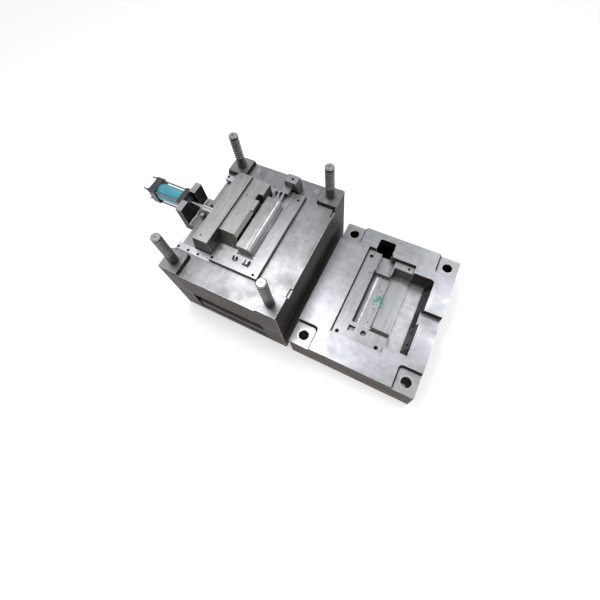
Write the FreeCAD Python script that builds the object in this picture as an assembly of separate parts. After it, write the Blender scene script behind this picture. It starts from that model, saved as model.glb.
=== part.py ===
"""Injection mould base standing open: the moving (core) half with its hydraulically
drawn slide, and the fixed (cavity) half turned over beside it, parting faces up.

X runs across the mould, Y along it and Z up. The origin is the centre of the core
half's bottom face, on the axis of the ejector rod hole. The cavity half is modelled
closed on the core half, so that every pocket follows the piece that enters it, and is
then turned over about an axis along Y to stand beside the core half.
"""
import FreeCAD
import Part

import math
import os

Vector = FreeCAD.Vector
AXIS = {"x": Vector(1, 0, 0), "y": Vector(0, 1, 0), "z": Vector(0, 0, 1)}

# ---- Plates ----
plate_width = 570.0
plate_length = 675.0
clamp_plate_thickness = 35.0
spacer_height = 155.0
spacer_width = 95.0
core_plate_thickness = 185.0
cavity_plate_thickness = 136.0
stand_gap = 30.0
plate_edge_chamfer = 2.0

# ---- Interlocks: what stands proud of the core half's parting face ----
interlock_height = 20.0
pad_lean = 8.0
pad_width = 92.0
pad_length = 98.0
pad_corner_radius = 14.0
pry_slot_length = 42.0
pry_slot_depth = 12.0
pry_slot_height = 10.0

# ---- Core insert ----
insert_right = 132.0
insert_front_rail = 29.0
insert_rear_rail = 35.0
insert_rear_reach = 13.0
insert_step = 20.0
insert_depth = 75.0
insert_lean = 5.0
insert_screw_inset = 20.5
ledge_relief = 3.0
ledge_relief_left = 82.0
ledge_relief_front = 131.0
trench_front = 150.0
trench_rear = 139.0
trench_depth = 6.0

# ---- Core boss, the long rounded form ----
boss_left = 3.0
boss_right = 67.5
boss_front = 136.0
boss_rear = 143.0
boss_height = 67.0
boss_edge_radius = 28.0
boss_end_radius = 6.0
wall_of_moulding = 3.0

# ---- Detail forms at the front end of the boss ----
detail_y = -171.0
detail_rise = 20.0
detail_sink = 6.0
detail_gap = 2.5
clip_x = 2.0
clip_diameter = 22.0
hook_x = 58.0
hook_width = 26.0
hook_length = 23.0

# ---- Slide ----
slide_half_length = 190.0
slide_drop = 30.0
slide_height = 103.0
slide_front = 102.0
slide_top_width = 71.0
slide_heel_lean = 28.0
slide_corner_radius = 22.0
slide_wing = 9.0
slide_wing_height = 15.0
slide_clearance = 0.3
face_insert_front = 13.0
face_insert_height = 91.0
face_insert_slope_top = 100.5
face_insert_slope_foot = 130.5
face_insert_notch_y = 90.0
face_insert_notch_length = 34.0
face_insert_notch_depth = 24.0
face_insert_facet = 14.0
wear_plate_thickness = 10.0
gib_lip_gap = 2.5
gib_width = 34.5
gib_end_gap = 4.0
gib_fit = 0.3
gib_chamfer = 3.0
gib_screw_pitch = 52.0
gib_screw_inset = 8.0
gib_dowel_diameter = 4.0
stop_length = 18.0
stop_width = 18.0
stop_spread = 60.0
stop_edge = 10.0
stop_gap = 1.0

# ---- Hydraulic cylinder and its bracket ----
cylinder_axis_height = 17.0
cylinder_cap_side = 90.0
cylinder_cap_chamfer = 6.0
front_cap_thickness = 25.0
rear_cap_thickness = 35.0
tube_length = 130.0
tube_bore = 63.0
tube_wall = 8.5
piston_thickness = 30.0
piston_rod_diameter = 25.0
running_fit = 0.05
gland_diameter = 50.0
gland_length = 12.0
tie_rod_diameter = 8.0
tie_rod_offset = 35.5
tie_rod_overhang = 30.0
bracket_plate_thickness = 30.0
bracket_reach = 70.0
bracket_half_width = 83.0
bracket_gap = 54.0
bracket_tower_top = 65.0
bracket_base_drop = 105.0
bracket_base_height = 50.0
oil_port_diameter = 15.0

# ---- Leader pins and bushings ----
leader_inset = 50.0
leader_diameter = 42.0
leader_rise = 214.0
leader_head = 50.0
leader_head_thickness = 10.0
oil_groove_count = 9
oil_groove_pitch = 13.0
oil_groove_depth = 0.9
oil_groove_half_width = 1.3
bushing_outer = 55.0
bushing_head = 62.0
bushing_head_thickness = 8.0
bushing_length = 90.0

# ---- Ejector set ----
ejector_base_thickness = 30.0
ejector_retainer_thickness = 25.0
rest_button_height = 5.0
rest_button_diameter = 25.0
rest_button_inset_x = 40.0
rest_button_inset_y = 47.5
ejector_rod_hole = 50.0
ejector_plate_gap = 4.0
ejector_pin_diameter = 8.0
pin_head_height = 6.0
pin_edge_share = 0.04
return_pin_diameter = 24.0
return_pin_head = 32.0
return_pin_inset_x = 128.0
return_pin_inset_y = 35.5
spring_outer = 40.0
spring_inner = 27.0
spring_coils = 6
guide_pin_diameter = 25.0
guide_bush_outer = 36.0
guide_pin_inset_x = 125.0
guide_pin_inset_y = 157.5
guide_pin_seat = 15.0
ejector_screw_inset_x = 125.0
ejector_screw_inset_y = 87.5
pillar_diameter = 50.0
pillar_x = 80.0
pillar_y = 110.0
pillar_clearance = 2.0

# ---- Rear post and shut-off block on the core insert ----
post_left = 29.0
post_right = 94.0
post_gap = 4.0
post_length = 45.0
post_height = 80.0
post_shelf_reach = 35.0
post_shelf_width = 34.0
shutoff_height = 45.0
shutoff_width = 51.0
shutoff_crest = 13.0
shutoff_notch_width = 16.0
shutoff_notch_depth = 12.0

# ---- Cavity half ----
slide_pocket_height = 105.0
rod_notch_width = 67.0
rod_notch_depth = 34.0
post_pocket_clearance = 8.0
post_pocket_rear_room = 16.0
face_pocket_slope_foot = 148.5
face_pocket_slope_top = 104.0
flange_step = 3.0
flange_right = 94.0
flange_front = 131.0
flange_rear = 122.0
cavity_insert_thickness = 100.0
pin_hole_diameter = 7.0
pin_hole_x = 6.0
cavity_block_right = 55.0
cavity_block_front = 160.0
locating_ring_diameter = 100.0
locating_ring_thickness = 15.0
ring_mouth_low = 9.0
ring_mouth_high = 17.0
sprue_bushing_diameter = 40.0
sprue_nose_diameter = 20.0
sprue_seat_height = 8.0
sprue_bore = 4.0
wedge_plate_thickness = 13.0
wedge_plate_length = 100.0
wedge_plate_offset = 47.0

# ---- Fasteners: nominal diameters of the cap screws ----
large_screw = 16.0
medium_screw = 12.0
small_screw = 8.0
screw_hole_clearance = 0.5
lifting_hole_diameter = 20.0
lifting_hole_depth = 40.0
cavity_lifting_height = 101.0

# ---- Levels and places that follow ----
half_width = plate_width / 2
half_length = plate_length / 2
insert_left = slide_front
insert_front = slide_half_length + insert_front_rail
insert_leg_rear = slide_half_length + insert_rear_rail
insert_rear = insert_leg_rear + insert_rear_reach
gib_inner = slide_half_length + gib_lip_gap
gib_outer = gib_inner + gib_width
gib_left = half_width - gib_end_gap
return_pin_x = half_width - return_pin_inset_x
return_pin_y = half_length - return_pin_inset_y
guide_pin_x = half_width - guide_pin_inset_x
guide_pin_y = half_length - guide_pin_inset_y
shutoff_front = boss_rear + wall_of_moulding
post_front = insert_rear + post_gap
post_rear = post_front + post_length
post_shelf_front = insert_rear - post_shelf_reach
spacer_top = clamp_plate_thickness + spacer_height
parting = spacer_top + core_plate_thickness
raised = parting + interlock_height
insert_bottom = parting - insert_depth
slide_bed = parting - slide_drop
slide_top = parting + slide_height
face_top = parting + face_insert_height
boss_top = parting + boss_height
slide_rear = slide_front + slide_top_width
heel_foot = slide_rear + slide_heel_lean
slide_stroke = half_width - stop_edge - stop_length - stop_gap - heel_foot
cavity_top = parting + cavity_plate_thickness
closed_top = cavity_top + clamp_plate_thickness
cavity_seat = raised + cavity_insert_thickness
pocket_top = parting + slide_pocket_height
rod_axis = parting + cylinder_axis_height
leader_x = half_width - leader_inset
leader_y = half_length - leader_inset
ejector_base_bottom = clamp_plate_thickness + rest_button_height
ejector_joint = ejector_base_bottom + ejector_base_thickness
ejector_top = ejector_joint + ejector_retainer_thickness
front_cap_left = half_width + bracket_reach + front_cap_thickness
tube_left = front_cap_left + tube_length
rear_cap_left = tube_left + rear_cap_thickness
piston_front = front_cap_left + 5.0
detail_bottom = raised - detail_sink
cavity_block_left = boss_left + wall_of_moulding
turn_x = half_width + stand_gap / 2
turn_z = closed_top / 2


# ---- Shapes ----
def block(x0, x1, y0, y1, z0, z1):
    """A box between two corners."""
    return Part.makeBox(x1 - x0, y1 - y0, z1 - z0, Vector(x0, y0, z0))


def rod(axis, start, length, diameter):
    """A round bar from a start point along an axis named x, y or z."""
    return Part.makeCylinder(diameter / 2, length, Vector(*start), AXIS[axis])


def face_of(points):
    """A flat face inside a closed outline of straight sides."""
    corners = [Vector(*point) for point in points]
    return Part.Face(Part.makePolygon(corners + corners[:1]))


def profile_along_y(section, y0, y1):
    """A bar whose cross-section is given as (x, z) corners."""
    return face_of([(x, y0, z) for x, z in section]).extrude(Vector(0, y1 - y0, 0))


def profile_along_x(section, x0, x1):
    """A bar whose cross-section is given as (y, z) corners."""
    return face_of([(x0, y, z) for y, z in section]).extrude(Vector(x1 - x0, 0, 0))


def profile_along_z(outline, z0, z1):
    """A plate whose outline is given as (x, y) corners."""
    return face_of([(x, y, z0) for x, y in outline]).extrude(Vector(0, 0, z1 - z0))


def turned(section, x, y):
    """A turned piece on a vertical axis, from its (radius, z) outline."""
    face = face_of([(radius, 0, z) for radius, z in section])
    piece = face.revolve(Vector(0, 0, 0), AXIS["z"], 360)
    piece.translate(Vector(x, y, 0))
    return piece


def four_ways(x, y):
    """The four places that mirror one place in both centre lines."""
    return [(sx * x, sy * y) for sx in (-1, 1) for sy in (-1, 1)]


def cut_all(shape, tools):
    """Cut a list of tools from a shape."""
    return shape.cut(tools[0].multiFuse(tools[1:]) if len(tools) > 1 else tools[0])


def edges_along(shape, axis, test):
    """The straight edges along an axis whose middle passes a test."""
    found = []
    for edge in shape.Edges:
        if not isinstance(edge.Curve, Part.Line):
            continue
        span = edge.Vertexes[-1].Point - edge.Vertexes[0].Point
        if abs(span.normalize().dot(AXIS[axis])) > 0.999 and test(edge.CenterOfMass):
            found.append(edge)
    return found


def chamfered_plate(width, length, z0, z1):
    """A ground plate centred on the origin with its upright edges broken."""
    plate = block(-width / 2, width / 2, -length / 2, length / 2, z0, z1)
    return plate.makeChamfer(plate_edge_chamfer, edges_along(plate, "z", lambda point: True))


def cap_screw(axis, seat, length, diameter, sense=-1):
    """A socket head cap screw whose head stands on its seat and whose shank runs on."""
    along = AXIS[axis] * sense
    seat = Vector(*seat)
    shank = Part.makeCylinder(diameter / 2, length, seat, along)
    head = Part.makeCylinder(diameter * 0.75, diameter, seat, along * -1)
    socket_face = seat - along * diameter
    side = Vector(AXIS[axis].z, AXIS[axis].x, AXIS[axis].y) * (diameter * 0.45)
    corners = [socket_face + rotated(side, along, 60 * turn) for turn in range(6)]
    socket = Part.Face(Part.makePolygon(corners + corners[:1])).extrude(along * (diameter * 0.5))
    return head.fuse(shank).removeSplitter().cut(socket)


def rotated(vector, axis, degrees):
    """A vector turned about an axis through the origin."""
    return FreeCAD.Rotation(axis, degrees).multVec(vector)


def screw_hole(axis, seat, length, diameter, head_room, sense=-1):
    """A counterbored hole for a cap screw: head room on one side, shank on the other."""
    along = AXIS[axis] * sense
    seat = Vector(*seat)
    clear = screw_hole_clearance
    shank = Part.makeCylinder(diameter / 2 + clear / 2, length + clear, seat, along)
    head = Part.makeCylinder(diameter * 0.75 + clear, head_room, seat, along * -1)
    return shank.fuse(head)


def turn_over(shape):
    """Turn a piece of the closed cavity half over to stand beside the core half."""
    moved = shape.copy()
    moved.rotate(Vector(turn_x, 0, turn_z), AXIS["y"], 180)
    return moved


# ---- Interlock forms shared by both halves ----
def pad_outline(sx, sy, grow, z, rim):
    """The outline of a corner pad: square outside, one rounded inner corner."""
    x0 = sx * (half_width + rim)
    y0 = sy * (half_length + rim)
    x1 = sx * (half_width - pad_width - grow)
    y1 = sy * (half_length - pad_length - grow)
    radius = pad_corner_radius + grow / 2
    bend = radius * (1 - math.sqrt(0.5))
    start = Vector(x1, y1 + sy * radius, z)
    middle = Vector(x1 + sx * bend, y1 + sy * bend, z)
    end = Vector(x1 + sx * radius, y1, z)
    corner = Part.Arc(start, middle, end).toShape()
    lines = [Vector(x1 + sx * radius, y1, z), Vector(x0, y1, z), Vector(x0, y0, z),
             Vector(x1, y0, z), start]
    sides = [Part.LineSegment(a, b).toShape() for a, b in zip(lines, lines[1:])]
    return Part.Wire([corner] + sides)


def corner_pad(sx, sy, rim=0.0):
    """One raised corner pad with leaning inner walls."""
    low = pad_outline(sx, sy, pad_lean, parting, rim)
    high = pad_outline(sx, sy, 0.0, raised, rim)
    return Part.makeLoft([low, high], True, True)


def insert_outline(grow):
    """The outline of the core insert's raised face, grown by the lean of its walls."""
    left = -insert_left
    step = insert_step - grow
    return [(left, -insert_front - grow), (insert_right + grow, -insert_front - grow),
            (insert_right + grow, insert_rear + grow), (step, insert_rear + grow),
            (step, insert_leg_rear + grow), (left, insert_leg_rear + grow)]


def insert_rise():
    """The leaning interlock of the core insert, from the parting face up."""
    wires = []
    for grow, z in ((insert_lean, parting), (0.0, raised)):
        corners = [Vector(x, y, z) for x, y in insert_outline(grow)]
        wires.append(Part.makePolygon(corners + corners[:1]))
    return Part.makeLoft(wires, True, True)


def slide_bay():
    """The room in the core insert for the foot of the slide's face insert."""
    y = slide_half_length + slide_clearance
    return block(-slide_front - 1, -face_insert_front + slide_clearance, -y, y, slide_bed,
                 raised + 1)


def face_pocket():
    """The room in the cavity insert for the slide's face insert, wider at its front slope."""
    y = slide_half_length + 1.0
    floor = face_top + 1.0
    section = [(y, raised - 1), (y, floor), (-face_pocket_slope_top, floor),
               (-face_pocket_slope_foot, raised), (-face_pocket_slope_foot, raised - 1)]
    return profile_along_x(section, -slide_front - 1, -face_insert_front + 1)


def boss_form(grow):
    """The long core boss: flat top, one wide rounded edge and softened ends."""
    right = boss_right + grow
    top = boss_top + grow
    radius = boss_edge_radius + grow
    y0 = -boss_front - grow
    body = block(-boss_left, right, y0, boss_rear + grow, raised, top)
    long_edge = edges_along(body, "y", lambda p: p.x > right - 1 and p.z > top - 1)
    body = body.makeFillet(radius, long_edge)
    ends = [edge for edge in body.Edges
            if edge.CenterOfMass.z > raised + 20 and abs(edge.CenterOfMass.y - y0) < 0.01]
    ends = [edge for edge in ends if edge.BoundBox.XLength > 5]
    return body.makeFillet(boss_end_radius, ends)


# ---- Core half: plates ----
def bottom_clamp_plate():
    plate = chamfered_plate(plate_width, plate_length, 0, clamp_plate_thickness)
    tools = [rod("z", (0, 0, -1), clamp_plate_thickness + 2, ejector_rod_hole)]
    for x, y in stack_places():
        tools.append(screw_hole("z", (x, y, large_screw + 2), 100, large_screw, 50, 1))
    for x, y in four_ways(guide_pin_x, guide_pin_y):
        tools.append(rod("z", (x, y, guide_pin_seat), clamp_plate_thickness,
                         guide_pin_diameter + 2 * running_fit))
    for x, y in four_ways(pillar_x, pillar_y):
        tools.append(screw_hole("z", (x, y, medium_screw + 2), 100, medium_screw, 50, 1))
    return cut_all(plate, tools)


def stack_places():
    """Where the long screws clamp the bottom plate and spacers to the core plate."""
    x = half_width - spacer_width / 2
    return [(sx * x, y) for sx in (-1, 1) for y in (-half_length * 0.55, 0, half_length * 0.55)]


def spacer_block(side):
    inner = half_width - spacer_width
    x0, x1 = sorted((side * inner, side * half_width))
    bar = block(x0, x1, -half_length, half_length, clamp_plate_thickness, spacer_top)
    outer = edges_along(bar, "z", lambda p: abs(p.x) > half_width - 1)
    bar = bar.makeChamfer(plate_edge_chamfer, outer)
    tools = [rod("z", (x, y, 0), spacer_top + 1, large_screw + screw_hole_clearance)
             for x, y in stack_places() if x * side > 0]
    return cut_all(bar, tools)


def ejector_pin_places():
    """Where the ejector pins come up: two rows under the core boss, one in the ledge."""
    flat_right = boss_right - boss_edge_radius - ejector_pin_diameter / 2 - 1
    rows = [(x, share) for x in (flat_right - 22, flat_right) for share in (-0.8, -0.25, 0.3, 0.8)]
    ledge_x = (boss_right + insert_right) / 2 + 4
    ledge = [(ledge_x, -boss_front - 14), (ledge_x, 0.0)]
    return [(x, share * boss_front) for x, share in rows] + ledge


def core_plate():
    plate = chamfered_plate(plate_width, plate_length, spacer_top, parting)
    pads = [corner_pad(sx, sy) for sx, sy in four_ways(1, 1)]
    plate = plate.multiFuse(pads).removeSplitter()
    tools = [profile_along_z(insert_outline(insert_lean), insert_bottom, raised + 1)]
    bed = slide_bed - wear_plate_thickness
    tools.append(block(-half_width - 1, -insert_left, -gib_outer, gib_outer, bed, raised))
    tools += leader_holes(spacer_top)
    for x, y in four_ways(return_pin_x, return_pin_y):
        tools.append(rod("z", (x, y, spacer_top - 1), 300, return_pin_diameter + 2 * running_fit))
        tools.append(rod("z", (x, y, spacer_top - 1), 21, spring_outer + 3))
    for x, y in ejector_pin_places():
        tools.append(rod("z", (x, y, spacer_top - 1), 300, ejector_pin_diameter + 1))
    for x, y in stop_places():
        tools.append(rod("z", (x, y, slide_bed - 21), 30, small_screw + screw_hole_clearance))
    for x, y in stack_places():
        tools.append(rod("z", (x, y, spacer_top - 1), 31, large_screw + screw_hole_clearance))
    for x, y in four_ways(guide_pin_x, guide_pin_y):
        tools.append(rod("z", (x, y, spacer_top - 1), 21, guide_pin_diameter + 2 * running_fit))
    tools += [screw_hole(*place) for place in gib_screw_places()]
    tools += [screw_hole(*place) for place in insert_screw_places()]
    tools += [screw_hole(*place) for place in bracket_screw_places()]
    tools.append(screw_hole(*post_screw_place()))
    for side in (-1, 1):
        start = (0, side * (half_length + 1), spacer_top + core_plate_thickness / 2)
        tools.append(lifting_hole(start, -side))
    for sy in (-1, 1):
        y = sy * (half_length - pad_length - pad_lean - pry_slot_length / 2)
        tools.append(block(half_width - pry_slot_depth, half_width + 1, y - pry_slot_length / 2,
                           y + pry_slot_length / 2, parting - pry_slot_height, parting + 1))
    return cut_all(plate, tools)


def lifting_hole(start, sense):
    """A blind tapped hole for an eye bolt, drilled along Y into a side face."""
    hole = Part.makeCylinder(lifting_hole_diameter / 2, lifting_hole_depth + 1,
                             Vector(*start), AXIS["y"] * sense)
    return hole


def leader_holes(bottom):
    """Shouldered bores for the leader pins, head at the bottom of the plate."""
    tools = []
    for x, y in four_ways(leader_x, leader_y):
        tools.append(rod("z", (x, y, bottom - 1), 400, leader_diameter + 2 * running_fit))
        tools.append(rod("z", (x, y, bottom - 1), leader_head_thickness + 1, leader_head + 1))
    return tools


def leader_pins():
    pins = []
    radius = leader_diameter / 2
    top = parting + leader_rise
    for x, y in four_ways(leader_x, leader_y):
        section = [(0, spacer_top), (leader_head / 2, spacer_top)]
        section.append((leader_head / 2, spacer_top + leader_head_thickness))
        section.append((radius, spacer_top + leader_head_thickness))
        first = top - 22 - (oil_groove_count - 1) * oil_groove_pitch
        for groove in range(oil_groove_count):
            z = first + groove * oil_groove_pitch
            section += [(radius, z - oil_groove_half_width), (radius - oil_groove_depth, z),
                        (radius, z + oil_groove_half_width)]
        section += [(radius, top - 5), (radius - 5, top), (radius - 10, top)]
        section += [(radius - 11, top - 1.5), (3.5, top - 1.5), (3.5, top - 12), (0, top - 12)]
        pins.append(turned(section, x, y))
    return Part.makeCompound(pins)


# ---- Core half: insert, boss and what stands on them ----
def insert_screw_places():
    """Screws that hold the core insert, with their heads sunk in its raised face."""
    seat = raised - 8 - small_screw
    right = insert_right - insert_screw_inset
    left = -insert_left + insert_screw_inset / 2
    front = -slide_half_length - insert_front_rail * 0.6
    rear = slide_half_length + insert_rear_rail / 2
    spots = [(right, front), (left, front), (left, rear), (right, rear)]
    return [("z", (x, y, seat), 95, small_screw, 40) for x, y in spots]


def core_insert():
    body = profile_along_z(insert_outline(insert_lean), insert_bottom, parting)
    body = body.fuse(insert_rise()).removeSplitter()
    tools = [slide_bay()]
    tools.append(block(ledge_relief_left, insert_right + insert_lean + 1, ledge_relief_front,
                       insert_rear + insert_lean + 1, raised - ledge_relief, raised + 1))
    tools.append(block(-boss_left, boss_right + 8, -trench_front, -trench_rear,
                       raised - trench_depth, raised + 1))
    dowel_x = -insert_left + insert_screw_inset * 1.5
    tools.append(rod("z", (dowel_x, insert_screw_places()[0][1][1], raised - 12), 20,
                     gib_dowel_diameter + 1))
    tools += [screw_hole(*place) for place in insert_screw_places()]
    for x, y in ejector_pin_places():
        tools.append(rod("z", (x, y, insert_bottom - 1), 300,
                         ejector_pin_diameter + 2 * running_fit))
    tools += detail_rooms(detail_bottom, raised + 1)
    return cut_all(body, tools)


def detail_rooms(z0, z1):
    """The round and the square room round the clip and hook forms, between two levels."""
    clip = rod("z", (clip_x, detail_y, z0), z1 - z0, clip_diameter + 2 * detail_gap)
    x = hook_width / 2 + detail_gap
    y = hook_length / 2 + detail_gap
    hook = block(hook_x - x, hook_x + x, detail_y - y, detail_y + y, z0, z1)
    return [clip, hook]


def core_detail_inserts():
    """The small clip and hook forms that stand at the front end of the boss."""
    low = raised + detail_rise * 0.3
    top = raised + detail_rise
    clip = rod("z", (clip_x, detail_y, detail_bottom), top - detail_bottom, clip_diameter)
    clip = clip.cut(rod("z", (clip_x, detail_y, low), detail_rise, clip_diameter * 0.45))
    clip = clip.cut(block(clip_x - 3, clip_x + clip_diameter, detail_y - clip_diameter,
                          detail_y - 3, low, top + 1))
    left = hook_x - hook_width / 2
    right = hook_x + hook_width / 2
    section = [(left, detail_bottom), (right, detail_bottom), (right, top), (right - 9, top),
               (right - 9, low), (left + 8, low), (left + 8, top - 4), (left, top - 4)]
    front = detail_y - hook_length / 2
    hook = profile_along_y(section, front, front + hook_length)
    eye = (right - 4.5, front - 1, top - 7)
    hook = hook.cut(rod("y", eye, hook_length + 2, 4.5))
    return Part.makeCompound([clip, hook])


def core_boss():
    boss = boss_form(0.0)
    tools = [rod("z", (x, y, raised - 1), 100, ejector_pin_diameter + 2 * running_fit)
             for x, y in ejector_pin_places() if x < boss_right]
    return cut_all(boss, tools)


def post_screw_place():
    x = (post_left + post_right) / 2
    y = (post_front + post_rear) / 2
    return ("z", (x, y, parting + post_height - 24), 95, small_screw, 40)


def rear_post_block():
    """The tall post behind the insert, with a low shelf in front and a relieved side."""
    top = parting + post_height
    shelf = parting + shutoff_height
    section = [(post_shelf_front, raised), (insert_rear, raised),
               (insert_rear + insert_lean, parting), (post_rear, parting), (post_rear, top),
               (post_front, top), (post_front, shelf), (post_shelf_front, shelf)]
    left = post_left
    post = profile_along_x(section, left, post_right)
    over = left + post_shelf_width
    post = post.cut(block(over, post_right + 1, post_shelf_front - 1, post_front + 6,
                          parting - 1, top - 14))
    lean = [(post_right - 8, top + 1), (post_right + 1, top + 1), (post_right + 1, top - 30)]
    post = post.cut(profile_along_y(lean, post_front - 1, post_rear + 1))
    return post.cut(screw_hole(*post_screw_place()))


def rear_shutoff_block():
    """The sloping block behind the boss, its crest cut by two V notches."""
    top = parting + shutoff_height
    rear = post_shelf_front
    crest = rear - shutoff_crest
    section = [(shutoff_front, raised), (rear, raised), (rear, top), (crest, top),
               (shutoff_front + 10, raised + 5), (shutoff_front, raised + 5)]
    left = -boss_left
    shape = profile_along_x(section, left, left + shutoff_width)
    half = shutoff_notch_width / 2
    for share in (0.3, 0.7):
        x = left + shutoff_width * share
        notch = [(x - half, top + 1), (x + half, top + 1), (x, top - shutoff_notch_depth)]
        shape = shape.cut(profile_along_y(notch, shutoff_front - 1, rear + 1))
    return shape


# ---- Core half: slide, gibs and wear plate ----
def wear_plate():
    y = slide_half_length + slide_wing
    plate = block(-half_width, -insert_left, -y, y, slide_bed - wear_plate_thickness, slide_bed)
    return cut_all(plate, [rod("z", (x, y, slide_bed - 30), 60,
                               small_screw + screw_hole_clearance) for x, y in stop_places()])


def gib(side):
    """A guide strip beside the slide; its lip holds the slide's wing down."""
    bed = slide_bed - wear_plate_thickness
    lip = slide_bed + slide_wing_height + gib_fit
    foot = slide_half_length + slide_wing + gib_fit
    section = [(side * gib_inner, lip), (side * gib_inner, parting), (side * gib_outer, parting),
               (side * gib_outer, bed), (side * foot, bed), (side * foot, lip)]
    bar = profile_along_x(section, -gib_left, -insert_left)
    upper = edges_along(bar, "x", lambda p: abs(p.y) > gib_outer - 1 and p.z > parting - 1)
    bar = bar.makeChamfer(gib_chamfer, upper)
    places = gib_screw_places()
    tools = [screw_hole(*place) for place in places if place[1][1] * side > 0]
    line = side * abs(places[0][1][1])
    for step in (0.33, 0.85):
        x = -insert_left - step * gib_screw_pitch
        tools.append(rod("z", (x, line, parting - 8), 20, gib_dowel_diameter))
    return cut_all(bar, tools)


def gib_screw_places():
    y = (slide_half_length + slide_wing + gib_outer) / 2
    seat = parting - small_screw - 3
    first = -gib_left + gib_screw_inset
    return [("z", (first + step * gib_screw_pitch, side * y, seat), 45, small_screw, 30)
            for side in (-1, 1) for step in range(3)]


def slide_carrier():
    """The tall slide block with a sloping heel, wings under the gibs and a rod pocket."""
    heel = heel_foot
    section = [(-slide_front, slide_bed), (-slide_front, slide_top), (-slide_rear, slide_top),
               (-heel, parting), (-heel, slide_bed)]
    half = slide_half_length - slide_clearance
    body = profile_along_y(section, -half, half)
    corner = [edge for edge in body.Edges if abs(edge.CenterOfMass.y - half) < 0.01
              and abs(edge.CenterOfMass.z - (slide_top + parting) / 2) < 1
              and edge.CenterOfMass.x < -slide_front - 20]
    body = body.makeFillet(slide_corner_radius, corner)
    wing = half + slide_wing
    body = body.fuse(block(-heel, -slide_front, -wing, wing, slide_bed,
                           slide_bed + slide_wing_height)).removeSplitter()
    tools = [coupling_room(slide_clearance)]
    for side in (-1, 1):
        tools.append(rod("z", (-(slide_front + slide_rear) / 2 - 8, side * (half - 24),
                               slide_top - 25), 30, small_screw))
    tools += [screw_hole(*place) for place in slide_screw_places()]
    return cut_all(body, tools)


def coupling_room(clear):
    """The pocket in the slide's heel that takes the rod coupling."""
    half = 24.0 + clear
    x1 = -slide_rear + 4 + clear
    return block(-heel_foot - 5, x1, -half, half, rod_axis - 30, rod_axis + half)


def slide_screw_places():
    seat = -slide_rear + 20
    level = parting + slide_height * 0.58
    return [("x", (seat, share * slide_half_length, level), 75, medium_screw, 90, 1)
            for share in (-0.76, -0.37, 0.37, 0.76)]


def slide_face_insert():
    """The slide's forming block: low step in front, sloping nose, side notch and facet."""
    half = slide_half_length - slide_clearance
    x0 = -slide_front
    x1 = -face_insert_front
    section = [(-half, slide_bed), (half, slide_bed), (half, face_top),
               (-face_insert_slope_top, face_top), (-face_insert_slope_foot, raised),
               (-half, raised)]
    body = profile_along_x(section, x0, x1)
    facet = face_insert_facet
    cutter = [(x1 + 1, face_top + 1), (x1 + 1, face_top - facet * 1.2), (x1, face_top - facet),
              (x1 - facet, face_top), (x1 - facet, face_top + 1)]
    body = body.cut(profile_along_y(cutter, -half - 1, 35))
    notch = block(x1 - face_insert_notch_depth, x1 + 1, face_insert_notch_y,
                  face_insert_notch_y + face_insert_notch_length, raised + 5, face_top + 1)
    notch = notch.makeFillet(6, edges_along(notch, "z", lambda p: p.x < x1))
    tools = [notch]
    tools += [screw_hole(*place) for place in slide_screw_places()]
    tools.append(rod("z", (-80, 97, face_top - 20), 30, small_screw))
    tools.append(rod("y", (-38, -half, raised + 12), 120, 12))
    for y in slide_pin_places():
        tools.append(rod("x", (x1 - 30, y, boss_top - 14), 40, 8.0 + 2 * running_fit))
    body = cut_all(body, tools)
    return body


def slide_pin_places():
    """Where the small core pins stand on the slide's forming face."""
    return [-60.0, 12.0, 44.0, 66.0]


def slide_core_pins():
    """Short pins that reach from the slide's face towards the boss."""
    x1 = -face_insert_front
    reach = face_insert_front - boss_left - 0.5
    pins = [rod("x", (x1 - 30, y, boss_top - 14), 30 + reach, 8.0) for y in slide_pin_places()]
    return Part.makeCompound(pins)


def slide_screws():
    return Part.makeCompound([cap_screw(p[0], p[1], p[2], p[3], p[5])
                              for p in slide_screw_places()])


def stop_places():
    x = -heel_foot - slide_stroke - stop_gap - stop_length / 2
    return [(x, side * stop_spread / 2) for side in (-1, 1)]


def slide_stops():
    """Two hardened blocks that stop the slide when the cylinder has drawn it back."""
    stops = []
    for x, y in stop_places():
        stop = block(x - stop_length / 2, x + stop_length / 2, y - stop_width / 2,
                     y + stop_width / 2, slide_bed, parting + 8)
        stop = stop.makeChamfer(2, edges_along(stop, "x", lambda p: p.z > parting))
        stops.append(stop.fuse(rod("z", (x, y, slide_bed - 20), 20, small_screw)))
    return Part.makeCompound(stops)


# ---- Core half: hydraulic cylinder ----
def bracket_screw_places():
    z = rod_axis - bracket_base_drop + bracket_base_height / 2 - 3
    seat = -half_width - bracket_reach + medium_screw + 2
    return [("x", (seat, y, z), bracket_reach + 20, medium_screw, 60, 1)
            for y in (-66.0, -24.0, 24.0, 66.0)]


def cylinder_bracket():
    """A foot bolted to the core plate, carrying a plate with two towers and a rod gap."""
    x0 = -half_width - bracket_reach
    bottom = rod_axis - bracket_base_drop
    foot = block(x0, -half_width, -bracket_half_width, bracket_half_width, bottom,
                 bottom + bracket_base_height)
    plate = block(x0, x0 + bracket_plate_thickness, -bracket_half_width, bracket_half_width,
                  bottom, parting + bracket_tower_top)
    body = foot.fuse(plate).removeSplitter()
    half_gap = bracket_gap / 2
    gap = block(x0 - 1, x0 + bracket_plate_thickness + 1, -half_gap, half_gap, rod_axis,
                parting + bracket_tower_top + 1)
    seat = rod("x", (x0 - 1, 0, rod_axis), bracket_plate_thickness + 2, bracket_gap)
    tools = [gap, seat]
    for y, z in tie_rod_places():
        tools.append(rod("x", (x0 - 1, y, z), 24, tie_rod_diameter + screw_hole_clearance))
    tools += [screw_hole(*place) for place in bracket_screw_places()]
    body = cut_all(body, tools)
    inner = x0 + bracket_plate_thickness
    foot_top = bottom + bracket_base_height
    web = edges_along(body, "y", lambda p: abs(p.x - inner) < 0.01 and abs(p.z - foot_top) < 0.01)
    return body.makeFillet(10, web)


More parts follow.
